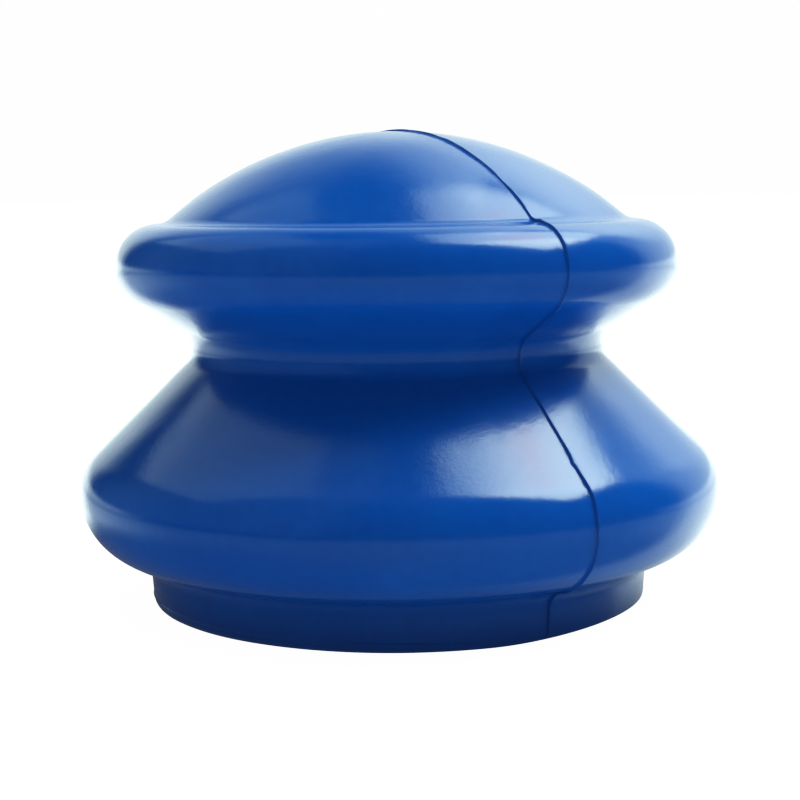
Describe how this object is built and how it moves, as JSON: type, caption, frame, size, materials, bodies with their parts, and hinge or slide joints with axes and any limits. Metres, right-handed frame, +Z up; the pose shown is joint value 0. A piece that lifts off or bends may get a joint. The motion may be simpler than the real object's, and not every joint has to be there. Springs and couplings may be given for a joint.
{
  "type": "silicone cupping cup",
  "caption": "Hollow moulded silicone cupping cup with an open mouth, a wide lower bulge, a narrow waist, a rolled shoulder and a domed top, squeezed by hand like a bellows.",
  "frame": {"origin": "centre of the mouth's flat rim, on the plane the cup stands on", "axes": "+Z up the cup's axis to the top of the dome, +Y away from the side that shows the mould line right of its middle, +X to that side's right"},
  "size_m": [0.07, 0.07, 0.0514],
  "materials": {
    "silicone": "satin to glossy moulded silicone rubber, opaque royal blue"
  },
  "bodies": {
    "lip": {"lip_ring": "silicone", "lower_bowl": "silicone"},
    "bulge": {"bulge_ring": "silicone", "lower_flank": "silicone"},
    "waist": {"waist_ring": "silicone", "upper_flank": "silicone"},
    "bulb": {"roll_ring": "silicone", "dome_flank": "silicone"},
    "crown": {"crown_cap": "silicone"}
  },
  "joints": [
    {"name": "lip_squeeze", "type": "slide", "parent": "lip", "child": "bulge", "axis": [0, 0, -1], "range_m": [0, 0.004], "stiffness_N_per_m": 5000, "deforming": ["lower_bowl"]},
    {"name": "waist_squeeze", "type": "slide", "parent": "bulge", "child": "waist", "axis": [0, 0, -1], "range_m": [0, 0.008], "stiffness_N_per_m": 2500, "deforming": ["lower_flank"]},
    {"name": "neck_tilt", "type": "hinge", "parent": "waist", "child": "bulb", "pos_m": [0, 0, 0.028], "axis": [0, 1, 0], "range_deg": [-8, 8], "stiffness_Nm_per_rad": 0.4, "deforming": ["upper_flank"]},
    {"name": "crown_press", "type": "slide", "parent": "bulb", "child": "crown", "axis": [0, 0, -1], "range_m": [0, 0.008], "stiffness_N_per_m": 1500, "deforming": ["dome_flank"]}
  ]
}
